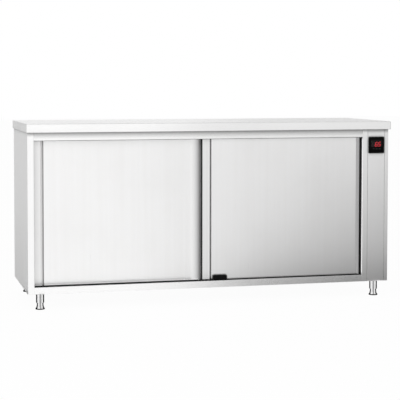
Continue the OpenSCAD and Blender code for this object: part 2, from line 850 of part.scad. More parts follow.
// Thermostat: housing behind the panel, bezel in front, window and three keys
key_list = [["key_set", -1], ["key_up", 0], ["key_down", 1]];
function key_x(i) = bezel_x + key_list[i][1] * key_pitch;
module controller_housing() {
    depth = 62;
    color("black") block([bezel_x - housing_w / 2, body_f, bezel_z - housing_w / 2],
        [bezel_x + housing_w / 2, body_f + depth, bezel_z + housing_w / 2]);
}
module controller_bezel() {
    color("black") difference() {
        rounded_plate(bezel_x, body_f - bezel_t, bezel_z, bezel_w, bezel_w, bezel_t, 4);
        block([bezel_x - window_w / 2 - 0.1, body_f - bezel_t - 1, bezel_z + window_up - window_h / 2 - 0.1],
              [bezel_x + window_w / 2 + 0.1, body_f - bezel_t + window_t, bezel_z + window_up + window_h / 2 + 0.1]);
        for (i = [0:2]) rounded_plate(key_x(i), body_f - bezel_t - 1, bezel_z - key_down_by,
            key_w + 2 * gap, key_h + 2 * gap, bezel_t + 2, 2);
        difference() {
            rounded_plate(bezel_x, body_f - bezel_t - 1, bezel_z, face_w, face_w, 1 + face_line / 2, 3);
            rounded_plate(bezel_x, body_f - bezel_t - 2, bezel_z, face_w - 2 * face_line,
                face_w - 2 * face_line, bezel_t, 2);
        }
    }
}
module display_window() {
    color("darkred") block([bezel_x - window_w / 2, body_f - bezel_t, bezel_z + window_up - window_h / 2],
        [bezel_x + window_w / 2, body_f - bezel_t + window_t, bezel_z + window_up + window_h / 2]);
}
module key(i) {
    proud = key_travel + 0.2;
    color("dimgray") rounded_plate(key_x(i), body_f - bezel_t - proud, bezel_z - key_down_by,
        key_w, key_h, bezel_t + proud - key_travel - gap, 1.8);
}

// Terminal block on the partition, inside the control column
module terminal_block() {
    pole = 18;
    up = 110;
    y0 = gland_y - 60;
    z = body_z + up;
    color("ivory") difference() {
        block([column_l, y0, z], [column_l + 24, y0 + 4 * pole, z + 20]);
        for (i = [0:2]) block([column_l + 14, y0 + (i + 0.6) * pole, z + 8],
            [column_l + 25, y0 + (i + 1.2) * pole, z + 21]);
    }
}

// Cable gland in the base panel, with a through bore for the supply cable
module cable_gland() {
    nut_t = 5;
    cap_h = 10;
    color("black") translate([gland_x, gland_y, body_z]) difference() {
        union() {
            translate([0, 0, sheet]) cylinder(h = nut_t, r = thread_r + 4, $fn = 6);
            translate([0, 0, -1]) cylinder(h = sheet + 2, r = thread_r);
            translate([0, 0, -nut_t]) cylinder(h = nut_t, r = thread_r + 4, $fn = 6);
            translate([0, 0, -nut_t - cap_h]) cylinder(h = cap_h, r1 = thread_r, r2 = thread_r + 2.4);
        }
        translate([0, 0, -nut_t - cap_h - 1]) cylinder(h = cap_h + 2 * nut_t + sheet + 2, r = cable_r);
    }
}

worktop();
top_stiffeners();
left_side_panel();
left_liner();
right_side_panel();
right_liner();
partition();
right_post();
control_panel();
back_panel();
back_liner();
mineral_wool();
roof_liner();
cabin_floor();
base_panel();
top_rail();
bottom_rail();
top_track();
track_stop();
bottom_track();
door_guide();
door_buffers();
shelf();
shelf_uprights();
shelf_bearers();
leg_tubes();
fan_casing();
fan_guard();
fan_motor();
ring_heater();
temperature_probe();
heat_limiter();
controller_housing();
controller_bezel();
display_window();
terminal_block();
cable_gland();
back_screws();
door_skin(rear_l, rear_r, rear_y);  // left_door_skin
door_pull(rear_l, rear_y);  // left_door_pull
door_back(rear_l, rear_r, rear_y);  // left_door_back
door_core(rear_l, rear_r, rear_y);  // left_door_core
hangers(rear_l, rear_r, rear_mid);  // left_door_hangers
door_skin(front_l, front_r, front_y);  // right_door_skin
door_pull(front_l, front_y);  // right_door_pull
door_back(front_l, front_r, front_y);  // right_door_back
door_core(front_l, front_r, front_y);  // right_door_core
hangers(front_l, front_r, front_mid);  // right_door_hangers
rollers(rear_l + hanger_inset, rear_mid);  // left_door_rollers_a
rollers(rear_r - hanger_inset, rear_mid);  // left_door_rollers_b
rollers(front_l + hanger_inset, front_mid);  // right_door_rollers_a
rollers(front_r - hanger_inset, front_mid);  // right_door_rollers_b
fan_wheel();
foot(leg_x[0], leg_y[0]);  // foot_front_left
foot(leg_x[1], leg_y[0]);  // foot_front_right
foot(leg_x[0], leg_y[1]);  // foot_back_left
foot(leg_x[1], leg_y[1]);  // foot_back_right
key(0);  // key_set
key(1);  // key_up
key(2);  // key_down
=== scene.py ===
"""Looks of the plate warmer cabinet: finishes, seals, lit display, studio light and camera."""
import math

import bmesh
import bpy
from mathutils import Euler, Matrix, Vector


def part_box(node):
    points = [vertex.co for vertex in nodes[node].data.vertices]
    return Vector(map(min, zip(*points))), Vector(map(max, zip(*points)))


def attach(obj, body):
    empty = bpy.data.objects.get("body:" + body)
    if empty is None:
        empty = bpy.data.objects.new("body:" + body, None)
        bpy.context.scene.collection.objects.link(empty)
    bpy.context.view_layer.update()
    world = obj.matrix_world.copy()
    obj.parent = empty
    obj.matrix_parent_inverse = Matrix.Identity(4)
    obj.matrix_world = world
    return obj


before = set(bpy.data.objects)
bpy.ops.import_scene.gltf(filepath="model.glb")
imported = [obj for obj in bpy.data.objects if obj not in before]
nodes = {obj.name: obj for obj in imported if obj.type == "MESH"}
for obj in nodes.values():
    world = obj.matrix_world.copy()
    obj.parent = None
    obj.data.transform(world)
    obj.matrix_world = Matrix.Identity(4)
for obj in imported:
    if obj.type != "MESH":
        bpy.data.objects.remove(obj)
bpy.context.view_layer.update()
scene = bpy.context.scene


def grey(value, warm=0.0):
    return (value * (1 + warm), value, value * (1 - warm))


def between(low, high, share):
    return low + (high - low) * share


def corners(node):
    low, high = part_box(node)
    return Vector(low), Vector(high)


# Shader nodes

# Places of a Mix node's colour sockets, and of a Mix Shader node's shader sockets
MIX_FIRST, MIX_SECOND, MIX_RESULT = 6, 7, 2
SHADER_FIRST, SHADER_SECOND = 1, 2


class Shader:
    """A node tree, with short calls for the nodes that the materials share."""

    def __init__(self, tree):
        self.tree = tree

    def node(self, kind, **inputs):
        """A new node with some of its inputs fed: an underscore stands for a space in a socket's name."""
        node = self.tree.nodes.new(f"ShaderNode{kind}")
        for socket, value in inputs.items():
            self.feed(node.inputs[socket.replace("_", " ")], value)
        return node

    def feed(self, socket, value):
        """Links a node's output to a socket, or sets a constant on it."""
        if isinstance(value, bpy.types.NodeSocket):
            self.tree.links.new(value, socket)
        else:
            socket.default_value = value

    def math(self, operation, first, second):
        node = self.node("Math")
        node.operation = operation
        self.feed(node.inputs[0], first)
        self.feed(node.inputs[1], second)
        return node.outputs["Value"]

    def spread(self, factor, low=0.0, high=1.0, start=0.3, end=0.7, smooth=False):
        """Turns a factor between start and end into a value between low and high."""
        node = self.node("MapRange", Value=factor, From_Min=start, From_Max=end, To_Min=low, To_Max=high)
        node.interpolation_type = "SMOOTHSTEP" if smooth else "LINEAR"
        return node.outputs["Result"]

    def blend(self, factor, first, second):
        """Mixes two colours, each a triple or a node's output."""
        node = self.node("Mix")
        node.data_type = "RGBA"
        self.feed(node.inputs["Factor"], factor)
        for socket, color in ((MIX_FIRST, first), (MIX_SECOND, second)):
            linked = isinstance(color, bpy.types.NodeSocket)
            self.feed(node.inputs[socket], color if linked else (*color, 1.0))
        return node.outputs[MIX_RESULT]


class Finish(Shader):
    """A material with a Principled shader, whose patterns lie in the piece's own space."""

    BEND_SAMPLES = 6
    SHADE_SAMPLES = 12

    def __init__(self, name, **constants):
        self.material = bpy.data.materials.new(name)
        self.material.use_nodes = True
        super().__init__(self.material.node_tree)
        self.bsdf = self.tree.nodes["Principled BSDF"]
        for socket, value in constants.items():
            self.set(socket.replace("_", " "), value)
        self.place = self.node("TexCoord").outputs["Object"]

    def set(self, socket, value):
        """A constant goes on the shader's own socket, and a node's output is linked to it."""
        self.feed(self.bsdf.inputs[socket], value)

    def scaled(self, frequency):
        """The place times a frequency per metre: one number, or one each for X, Y and Z."""
        scale = frequency if isinstance(frequency, (list, tuple)) else (frequency,) * 3
        return self.node("Mapping", Vector=self.place, Scale=scale).outputs["Vector"]

    def noise(self, frequency, detail=2.0, roughness=0.5):
        """Noise from 0 to 1."""
        place = self.scaled(frequency)
        node = self.node("TexNoise", Vector=place, Scale=1.0, Detail=detail, Roughness=roughness)
        return node.outputs["Fac"]

    def cells(self, frequency):
        """Distance from the middle of the nearest Voronoi cell."""
        return self.node("TexVoronoi", Vector=self.scaled(frequency), Scale=1.0).outputs["Distance"]

    def bump(self, height, depth, bend=0.0):
        """Relief from a height of 0 to 1, depth metres deep, over edges rounded to the radius bend."""
        relief = self.node("Bump", Height=height, Distance=depth)
        if bend:
            rounded = self.node("Bevel", Radius=bend)
            rounded.samples = self.BEND_SAMPLES
            self.feed(relief.inputs["Normal"], rounded.outputs["Normal"])
        self.set("Normal", relief.outputs["Normal"])

    def painted_corner_shade(self, color, reach, power):
        """Painted shade: darkens a colour in corners and under edges, where shade falls; reach is in metres.
        """
        nearby = self.node("AmbientOcclusion", Distance=reach)
        nearby.samples = self.SHADE_SAMPLES
        return self.blend(self.math("POWER", nearby.outputs["AO"], power), grey(0.0), color)


# Finishes

# Depth of a fine relief, in metres; the other depths are multiples of it
HAIRLINE = 0.00001


def brushed_steel(name, tone, roughness, along, shade_reach, shade_power, anisotropy=0.45, bend=0.0014):
    """Stainless sheet with a fine grain along one axis, faint streaks, smudges, hairline scratches and
    painted corner shade.
    """
    finish = Finish(name, Metallic=0.92, Anisotropic=anisotropy)
    tangent = finish.node("Tangent")
    tangent.direction_type = "RADIAL"
    tangent.axis = along.upper()
    finish.set("Tangent", tangent.outputs["Tangent"])

    def drawn(length, across, detail):
        """Noise drawn out along the grain, with its frequencies along and across it."""
        return finish.noise([length if axis == along else across for axis in "xyz"], detail)

    grain = drawn(4.0, 1400.0, detail=3.0)
    streak = drawn(0.9, 55.0, detail=2.0)
    scratch = drawn(14.0, 420.0, detail=1.0)
    smudge = finish.noise(3.2, detail=4.0, roughness=0.6)
    dark_streak, light_streak = grey(tone * 0.985, warm=0.003), grey(tone * 1.01, warm=0.001)
    base = finish.blend(finish.spread(streak), dark_streak, light_streak)
    smudge_share = finish.spread(smudge, high=0.55, start=0.45, end=0.75)
    scratch_share = finish.spread(scratch, high=0.3, start=0.74, end=0.80)
    worn = finish.blend(smudge_share, base, grey(tone * 0.95, warm=0.006))
    lined = finish.blend(scratch_share, worn, grey(tone * 0.8))
    # Painted shade: the colour darkens in corners and under edges, over the given reach and power
    finish.set("Base Color", finish.painted_corner_shade(lined, shade_reach, shade_power))
    rough = finish.spread(grain, roughness - 0.03, roughness + 0.03)
    finish.set("Roughness", finish.math("ADD", rough, finish.spread(smudge, -0.015, 0.04)))
    finish.bump(grain, HAIRLINE, bend)
    return finish.material


def plain_sheet(name, tone, roughness):
    """Mill-finish stainless sheet of the warm cabin: soft clouds and light wear."""
    finish = Finish(name, Metallic=0.9)
    cloud = finish.noise(7.0, detail=5.0, roughness=0.6)
    finish.set("Base Color", finish.blend(finish.spread(cloud), grey(tone * 0.92, warm=0.01), grey(tone)))
    finish.set("Roughness", finish.spread(cloud, roughness, roughness + 0.1))
    finish.bump(finish.noise(600.0), HAIRLINE)
    return finish.material


def galvanised(name):
    """Zinc-coated sheet with its spangle and a dull bloom."""
    finish = Finish(name, Metallic=0.85)
    spangle = finish.cells(85.0)
    bloom = finish.noise(5.0, detail=4.0)
    flakes = finish.blend(spangle, grey(0.52, warm=-0.01), grey(0.68, warm=-0.01))
    finish.set("Base Color", finish.blend(finish.spread(bloom, high=0.5), flakes, grey(0.6)))
    finish.set("Roughness", finish.spread(spangle, 0.34, 0.52, start=0.1, end=0.7))
    finish.bump(finish.noise(900.0), HAIRLINE)
    return finish.material


def turned_steel(name, tone, roughness, rings):
    """Polished steel turned on a lathe, with rings along its height."""
    finish = Finish(name, Metallic=1.0)
    ring = finish.noise((3.0, 3.0, rings))
    scuff = finish.noise((160.0, 160.0, 60.0), detail=4.0, roughness=0.7)
    scuff_share = finish.spread(scuff, high=0.5, start=0.5, end=0.8)
    finish.set("Base Color", finish.blend(scuff_share, grey(tone), grey(tone * 0.85, warm=0.01)))
    rough = finish.spread(ring, roughness, roughness + 0.05)
    scuffed = finish.spread(scuff, high=0.12, start=0.5, end=0.85)
    finish.set("Roughness", finish.math("ADD", rough, scuffed))
    finish.bump(ring, 0.6 * HAIRLINE)
    return finish.material


def plated(name, tone, roughness, tint=0.0):
    """Zinc-plated small steel parts: mottled, with rubbed spots."""
    finish = Finish(name, Metallic=0.95)
    mottle = finish.noise(110.0, detail=4.0, roughness=0.65)
    rubbed = finish.spread(finish.noise(38.0), high=0.6, start=0.6, end=0.7)
    base = finish.blend(finish.spread(mottle), grey(tone * 0.86, tint), grey(tone, tint))
    finish.set("Base Color", finish.blend(rubbed, base, grey(tone * 1.1)))
    finish.set("Roughness", finish.spread(mottle, roughness, roughness + 0.14))
    finish.bump(mottle, 2 * HAIRLINE)
    return finish.material


def extruded_aluminium(name):
    """Mill-finish extrusion with drawing lines along X."""
    finish = Finish(name, Metallic=0.95)
    lines = finish.noise((2.0, 900.0, 900.0), detail=3.0)
    finish.set("Base Color", finish.blend(finish.spread(lines), grey(0.62), grey(0.74)))
    finish.set("Roughness", finish.spread(lines, 0.28, 0.42))
    finish.bump(lines, HAIRLINE)
    return finish.material


def heat_tinted(name):
    """Sheath of the heating ring: straw and brown-grey bands where it has run hot."""
    finish = Finish(name, Metallic=0.9)
    heat = finish.noise(30.0, detail=3.0)
    soot = finish.noise(260.0)
    tint = finish.blend(finish.spread(heat), (0.24, 0.22, 0.21), (0.40, 0.34, 0.25))
    soot_share = finish.spread(soot, high=0.5, start=0.5, end=0.8)
    finish.set("Base Color", finish.blend(soot_share, tint, grey(0.12)))
    finish.set("Roughness", finish.spread(heat, 0.38, 0.55))
    finish.bump(soot, 3 * HAIRLINE)
    return finish.material


def moulded(name, color, roughness, texture=1100.0, depth=2 * HAIRLINE, wear=0.25, **constants):
    """Moulded plastic, nylon or rubber: a fine eroded grain, slight flow marks and dulled patches."""
    finish = Finish(name, **constants)
    grain = finish.noise(texture)
    flow = finish.noise(24.0, detail=3.0)
    light = tuple(min(1.0, part * 1.15 + 0.001) for part in color)
    dark = tuple(part * (1 - 0.3 * wear) for part in color)
    finish.set("Base Color", finish.blend(finish.spread(flow), dark, light))
    rough = finish.spread(grain, roughness - 0.04, roughness + 0.04)
    finish.set("Roughness", finish.math("ADD", rough, finish.spread(flow, high=0.12 * wear)))
    finish.bump(grain, depth)
    return finish.material


def smoked_window(name):
    """Dark red display filter: glossy acrylic with dust and faint wiping marks."""
    finish = Finish(name, Specular_IOR_Level=0.15)
    dust = finish.noise(420.0, detail=4.0, roughness=0.7)
    wipe = finish.noise((30.0, 30.0, 240.0), detail=3.0)
    dust_share = finish.spread(dust, high=0.3, start=0.55, end=0.8)
    finish.set("Base Color", finish.blend(dust_share, (0.004, 0.002, 0.002), (0.014, 0.010, 0.010)))
    finish.set("Roughness", finish.spread(wipe, 0.06, 0.16))
    return finish.material


def mineral_wool(name):
    """Yellowish mineral wool: matted fibres and denser tufts."""
    finish = Finish(name, Roughness=0.95)
    fibre = finish.noise((320.0, 900.0, 500.0), detail=6.0, roughness=0.7)
    tuft = finish.noise(45.0, detail=3.0)
    base = finish.blend(finish.spread(fibre), (0.42, 0.36, 0.20), (0.72, 0.64, 0.40))
    finish.set("Base Color", finish.blend(finish.spread(tuft, high=0.4), base, (0.50, 0.40, 0.22)))
    finish.bump(fibre, 0.0012)
    return finish.material


def lit(name, color, strength):
    """Lit parts of the display: the light varies a little over each segment."""
    finish = Finish(name, Roughness=0.35, Emission_Strength=strength)
    uneven = finish.noise(700.0, detail=1.0)
    glow = finish.blend(finish.spread(uneven), tuple(part * 0.8 for part in color), color)
    finish.set("Base Color", glow)
    finish.set("Emission Color", glow)
    return finish.material


DOOR_TONE = 0.95
BODY_TONE = 0.985
PULL_TONE = 0.90
# Each steel's two numbers after the grain axis are the reach and power of its painted shade in corners and
# under edges
FINISHES = [
    (brushed_steel("steel_worktop", BODY_TONE, 0.22, "x", shade_reach=0.02, shade_power=1.0, bend=0.0028),
     ["worktop"]),
    (brushed_steel("steel_rail", BODY_TONE, 0.26, "x", shade_reach=0.032, shade_power=2.0, anisotropy=0.2),
     ["top_rail", "bottom_rail"]),
    (brushed_steel("steel_body", BODY_TONE, 0.32, "z", shade_reach=0.022, shade_power=2.0),
     ["left_side_panel", "right_side_panel", "control_panel"]),
    (brushed_steel("steel_post", BODY_TONE, 0.32, "z", shade_reach=0.018, shade_power=2.0), ["right_post"]),
    (brushed_steel("steel_door", DOOR_TONE, 0.32, "z", shade_reach=0.008, shade_power=2.5),
     ["left_door_skin", "right_door_skin"]),
    (brushed_steel("steel_pull", PULL_TONE, 0.32, "z", shade_reach=0.045, shade_power=0.3),
     ["left_door_pull", "right_door_pull"]),
    (plain_sheet("steel_cabin", tone=0.74, roughness=0.30),
     ["left_liner", "right_liner", "back_liner", "roof_liner", "cabin_floor", "shelf", "shelf_uprights",
      "shelf_bearers", "fan_guard", "left_door_back", "right_door_back"]),
    (galvanised("zinc_sheet"), ["top_stiffeners", "partition", "back_panel", "base_panel", "fan_casing"]),
    (turned_steel("leg_tube", tone=0.86, roughness=0.16, rings=1500.0), ["leg_tubes"]),
    (turned_steel("foot_turned", tone=0.84, roughness=0.10, rings=2600.0),
     ["foot_front_left", "foot_front_right", "foot_back_left", "foot_back_right"]),
    (plated("hanger_zinc", tone=0.66, roughness=0.30, tint=0.02),
     ["left_door_hangers", "right_door_hangers"]),
    (plated("screw_zinc", tone=0.62, roughness=0.26), ["back_screws"]),
    (plated("fan_aluminium", tone=0.72, roughness=0.34, tint=-0.01), ["fan_wheel"]),
    (moulded("motor_casting", (0.09, 0.09, 0.10), 0.5, texture=500.0, depth=8 * HAIRLINE), ["fan_motor"]),
    (plated("probe_steel", tone=0.60, roughness=0.30), ["temperature_probe"]),
    (heat_tinted("heater_sheath"), ["ring_heater"]),
    (extruded_aluminium("track_aluminium"), ["top_track"]),
    (moulded("nylon_black", grey(0.003), 0.5, Specular_IOR_Level=0.08), ["bottom_track", "door_guide"]),
    (moulded("nylon_white", (0.78, 0.77, 0.73), 0.40),
     ["left_door_rollers_a", "left_door_rollers_b", "right_door_rollers_a", "right_door_rollers_b"]),
    (moulded("rubber_black", grey(0.018), 0.72, texture=700.0, depth=6 * HAIRLINE, wear=0.6),
     ["track_stop", "door_buffers"]),
    (moulded("rubber_key", grey(0.004), 0.6, texture=1500.0, Specular_IOR_Level=0.08),
     ["key_set", "key_up", "key_down"]),
    (moulded("plastic_black", (0.016, 0.016, 0.017), 0.45), ["controller_housing", "cable_gland"]),
    (moulded("plastic_switch", (0.05, 0.045, 0.04), 0.5), ["heat_limiter"]),
    (moulded("plastic_bezel", grey(0.0015), 0.35, texture=1400.0, depth=HAIRLINE, wear=0.4,
             Specular_IOR_Level=0.05), ["controller_bezel"]),
    (smoked_window("window_smoked"), ["display_window"]),
    (moulded("terminal_ivory", (0.66, 0.62, 0.50), 0.45), ["terminal_block"]),
    (mineral_wool("wool"), ["mineral_wool", "left_door_core", "right_door_core"]),
]
for material, names in FINISHES:
    for name in names:
        for slot in nodes[name].material_slots:
            slot.material = material


# Forms of the small pieces

def add_skin(bm, rings, closed=False):
    """Faces over rings of points, with the ends filled, or joined to each other when closed."""
    loops = [[bm.verts.new(point) for point in ring] for ring in rings]
    pairs = list(zip(loops, loops[1:]))
    if closed:
        pairs.append((loops[-1], loops[0]))
    else:
        bm.faces.new(loops[0])
        bm.faces.new(loops[-1][::-1])
    for first, second in pairs:
        for i in range(len(first)):
            j = (i + 1) % len(first)
            bm.faces.new((first[i], first[j], second[j], second[i]))


def add_piece(name, bm, material, body):
    """Makes an object of the mesh that bm holds, and lets it ride on a body."""
    bmesh.ops.recalc_face_normals(bm, faces=bm.faces)
    mesh = bpy.data.meshes.new(name)
    bm.to_mesh(mesh)
    bm.free()
    mesh.materials.append(material)
    piece = bpy.data.objects.new(name, mesh)
    scene.collection.objects.link(piece)
    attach(piece, body)


def loft(name, rings, material, body, closed=False):
    """A piece that is one skin over rings of points."""
    bm = bmesh.new()
    add_skin(bm, rings, closed)
    add_piece(name, bm, material, body)


def flat_piece(name, outlines, face_y, thickness, material, body):
    """Thin raised shapes on a face that looks to the front: each outline is a loop of X and Z points."""
    bm = bmesh.new()
    for outline in outlines:
        add_skin(bm, [[(x, y, z) for x, z in outline] for y in (face_y, face_y - thickness)])
    add_piece(name, bm, material, body)


def circle(radius, count):
    """Points on a circle round the origin."""
    turns = [2 * math.pi * i / count for i in range(count)]
    return [(radius * math.cos(turn), radius * math.sin(turn)) for turn in turns]


# Display

DIGIT_W, DIGIT_H = 0.0112, 0.0200
STROKE = 0.0017
SEGMENT_GAP = 0.0004
SLANT = 0.26   # how far a digit leans to the right for its height
# Middle of each segment in digit widths and half heights, and whether it lies or stands
SEGMENTS = {"a": (0, 1, True), "b": (0.5, 0.5, False), "c": (0.5, -0.5, False), "d": (0, -1, True),
            "e": (-0.5, -0.5, False), "f": (-0.5, 0.5, False), "g": (0, 0, True)}
# Segments that each character lights
LIT = {" ": "", "6": "acdefg", "5": "acdfg"}
SHOWN = " 65"
FIRST_DIGIT_X, DIGIT_PITCH, DIGIT_Z = -0.0175, 0.0160, 0.0040   # from the middle of the bezel
LAMP_X, LAMP_Z, LAMP_RADIUS, LAMP_SIDES = -0.0262, 0.0160, 0.0011, 20
LIT_T, UNLIT_T, LAMP_T = 0.00015, 0.00010, 0.00012   # thicknesses


def bar(lying):
    """A pointed bar round the origin, one segment long."""
    reach = (DIGIT_W if lying else DIGIT_H / 2) / 2 - SEGMENT_GAP
    side = STROKE / 2
    loop = [(-reach, 0), (-reach + side, side), (reach - side, side), (reach, 0), (reach - side, -side),
            (-reach + side, -side)]
    return loop if lying else [(z, x) for x, z in loop]


def digit(character, x, z):
    """The lit and the unlit segments of one slanted digit, centred at x and z."""
    lit_loops, unlit_loops = [], []
    for key, (across, up, lying) in SEGMENTS.items():
        loop = []
        for bar_x, bar_z in bar(lying):
            rise = up * DIGIT_H / 2 + bar_z
            loop.append((x + across * DIGIT_W + bar_x + SLANT * rise, z + rise))
        (lit_loops if key in LIT[character] else unlit_loops).append(loop)
    return lit_loops, unlit_loops


bezel_low, bezel_high = corners("controller_bezel")
bezel_middle = (bezel_low + bezel_high) / 2
window_y = corners("display_window")[0].y
lit_segments, unlit_segments = [], []
for i, character in enumerate(SHOWN):
    digit_x = bezel_middle.x + FIRST_DIGIT_X + i * DIGIT_PITCH
    on, off = digit(character, digit_x, bezel_middle.z + DIGIT_Z)
    lit_segments += on
    unlit_segments += off
red = lit("display_red", (0.90, 0.040, 0.055), strength=0.75)
unlit = moulded("display_unlit", (0.040, 0.018, 0.020), 0.35, texture=2000.0)
flat_piece("display_digits", lit_segments, window_y, LIT_T, red, "cabinet")
flat_piece("display_unlit_segments", unlit_segments, window_y, UNLIT_T, unlit, "cabinet")
lamp_green = lit("indicator_green", (0.05, 0.22, 0.13), strength=0.35)
lamp_x, lamp_z = bezel_middle.x + LAMP_X, bezel_middle.z + LAMP_Z
lamp_outline = [(lamp_x + x, lamp_z + z) for x, z in circle(LAMP_RADIUS, LAMP_SIDES)]
flat_piece("heating_indicator", [lamp_outline], window_y, LAMP_T, lamp_green, "cabinet")


# Rubber lips, door seal and treads

LIP_WIDTH = 0.003
LIP_SHOULDER = 0.7     # share of a lip's height where its rounded part starts
LIP_OVERLAP = 0.0008   # how far the lips on the ledge reach over the bottom track's front
LIP_INSET = 0.0002     # from the top rail's front to the lip under it
GUIDE_GAP = 0.001      # between the lips and the guide block
LEFT_LIP_H, RIGHT_LIP_H, HEAD_LIP_H = 0.0054, 0.0034, -0.0017

rail_low, rail_high = corners("bottom_rail")
track_low = corners("bottom_track")[0]
guide_low, guide_high = corners("door_guide")
head_low, head_high = corners("top_rail")
pull_low, pull_high = corners("right_door_pull")
seal_rubber = moulded("seal_rubber", grey(0.008), 0.6, texture=900.0, Specular_IOR_Level=0.15)


def rubber_lip(name, x0, x1, y, z, height):
    """A rounded lip along X that stands on z, or hangs from it where the height is negative."""
    section = [(y - LIP_WIDTH / 2, z), (y + LIP_WIDTH / 2, z)]
    for angle in range(0, 181, 30):
        turn = math.radians(angle)
        share = between(LIP_SHOULDER, 1.0, math.sin(turn))
        section.append((y + LIP_WIDTH / 2 * math.cos(turn), z + height * share))
    rings = [[(x, side, up) for side, up in section] for x in (x0, x1)]
    loft(name, rings, seal_rubber, "cabinet")


sill_y = track_low.y + LIP_OVERLAP - LIP_WIDTH / 2
head_y = head_low.y + LIP_INSET + LIP_WIDTH / 2
rubber_lip("sill_seal_left", rail_low.x, guide_low.x - GUIDE_GAP, sill_y, rail_high.z, LEFT_LIP_H)
rubber_lip("sill_seal_right", guide_high.x + GUIDE_GAP, rail_high.x, sill_y, rail_high.z, RIGHT_LIP_H)
rubber_lip("head_seal", head_low.x, head_high.x, head_y, head_low.z, HEAD_LIP_H)

# Seal on the front door's leading edge: a flat strip with a rounded outer side. Its black rubber also stands
# in for the shade along that edge, which the rear door reflects.
SEAL_MARGIN, SEAL_THICKNESS = 0.0015, 0.002
SEAL_ARC = (0.15, 0.85)     # stretch of a half turn that the outer side follows
SEAL_REACH = (0.02, 0.98)   # stretch of the strip's depth between its ends
SEAL_POINTS = 7
seal_front, seal_back = pull_low.y + SEAL_MARGIN, pull_high.y - SEAL_MARGIN
seal_section = [(pull_low.x, seal_front), (pull_low.x, seal_back)]
for i in range(SEAL_POINTS):
    share = i / (SEAL_POINTS - 1)
    bulge = SEAL_THICKNESS * math.sin(math.pi * between(*SEAL_ARC, share))
    seal_section.append((pull_low.x - bulge, between(seal_back, seal_front, between(*SEAL_REACH, share))))
seal_ends = (pull_low.z + SEAL_MARGIN, pull_high.z - SEAL_MARGIN)
loft("door_edge_seal_and_shade", [[(x, y, z) for x, y in seal_section] for z in seal_ends], seal_rubber, "right_door")

# Tread round the lowest edge of each foot: its section as distances beyond the rim and heights
TREAD_SECTION = [(-0.0022, 0.0002), (0.0005, 0.0002), (0.0010, 0.0010), (0.0010, 0.0042), (0.0004, 0.0051),
                 (-0.0022, 0.0053)]
TREAD_SIDES = 40
FEET = ("foot_front_left", "foot_front_right", "foot_back_left", "foot_back_right")
foot_middles = {}
for foot in FEET:
    low, high = corners(foot)
    middle = (low + high) / 2
    foot_middles[foot] = middle
    rim = (high.x - low.x) / 2
    rings = []
    for x, y in circle(1.0, TREAD_SIDES):
        rings.append([(middle.x + (rim + out) * x, middle.y + (rim + out) * y, low.z + z)
                      for out, z in TREAD_SECTION])
    loft(f"{foot}_tread", rings, seal_rubber, foot, closed=True)


# Key symbols

SYMBOL_T = 0.00008   # thickness of the print
SYMBOL_HALF_W = 0.0017
ARROW_FOOT, ARROW_TIP = -0.0011, 0.0015
BARS_FOOT, BAR_PITCH, BAR_H = -0.0015, 0.0012, 0.0005
arrow_up = [(-SYMBOL_HALF_W, ARROW_FOOT), (SYMBOL_HALF_W, ARROW_FOOT), (0, ARROW_TIP)]
arrow_down = [(x, -z) for x, z in arrow_up]
bars = []
for i in range(3):
    foot = BARS_FOOT + i * BAR_PITCH
    top = foot + BAR_H
    bars.append([(-SYMBOL_HALF_W, foot), (SYMBOL_HALF_W, foot), (SYMBOL_HALF_W, top), (-SYMBOL_HALF_W, top)])

symbol_print = moulded("symbol_print", grey(0.16), 0.5, texture=1800.0)
for key, symbol in (("key_set", bars), ("key_up", [arrow_up]), ("key_down", [arrow_down])):
    low, high = corners(key)
    middle = (low + high) / 2
    outlines = [[(middle.x + x, middle.z + z) for x, z in loop] for loop in symbol]
    flat_piece(f"{key}_symbol", outlines, low.y, SYMBOL_T, symbol_print, key)


# Floor and world

FLOOR_REACH = 30.0
FLOOR_GREY = 0.93
FLOOR_PAPER = 0.965   # share of the floor that shows as plain white; the rest keeps the object's shadow
WORLD_FILL = 0.62     # strength of the light from all around


def stage_mesh(name, points, faces, material, reflected_only=False):
    """A stage object, which may show in glossy reflections only."""
    mesh = bpy.data.meshes.new(name)
    mesh.from_pydata(points, [], faces)
    mesh.materials.append(material)
    stage = bpy.data.objects.new(name, mesh)
    scene.collection.objects.link(stage)
    if reflected_only:
        stage.visible_camera = False
        stage.visible_diffuse = False
        stage.visible_transmission = False
        stage.visible_shadow = False


def bare_material(name):
    """A material with an empty node tree, and the shader calls for it."""
    material = bpy.data.materials.new(name)
    material.use_nodes = True
    material.node_tree.nodes.clear()
    return material, Shader(material.node_tree)


def seen_directly(shader):
    """1 for camera, glossy and transmission rays."""
    path = shader.node("LightPath").outputs
    seen = shader.math("MAXIMUM", path["Is Camera Ray"], path["Is Glossy Ray"])
    return shader.math("MAXIMUM", seen, path["Is Transmission Ray"])


def floor_material():
    """White paper that keeps the object's shadow."""
    material, shader = bare_material("floor_white")
    paper = shader.node("BsdfDiffuse", Color=(*grey(FLOOR_GREY), 1))
    white = shader.node("Emission", Strength=1.0)
    mix = shader.node("MixShader", Fac=shader.math("MULTIPLY", seen_directly(shader), FLOOR_PAPER))
    shader.feed(mix.inputs[SHADER_FIRST], paper.outputs["BSDF"])
    shader.feed(mix.inputs[SHADER_SECOND], white.outputs["Emission"])
    shader.node("OutputMaterial", Surface=mix.outputs["Shader"])
    return material


floor_corners = [(x * FLOOR_REACH, y * FLOOR_REACH, 0) for x, y in ((-1, -1), (1, -1), (1, 1), (-1, 1))]
stage_mesh("floor", floor_corners, [(0, 1, 2, 3)], floor_material())

world = bpy.data.worlds.new("studio")
scene.world = world
world.use_nodes = True
surround = Shader(world.node_tree)
background = surround.tree.nodes["Background"]
surround.feed(background.inputs["Color"], (1, 1, 1, 1))
world_level = surround.spread(seen_directly(surround), WORLD_FILL, 1.0, start=0.0, end=1.0)
surround.feed(background.inputs["Strength"], world_level)


# Camera and lamp

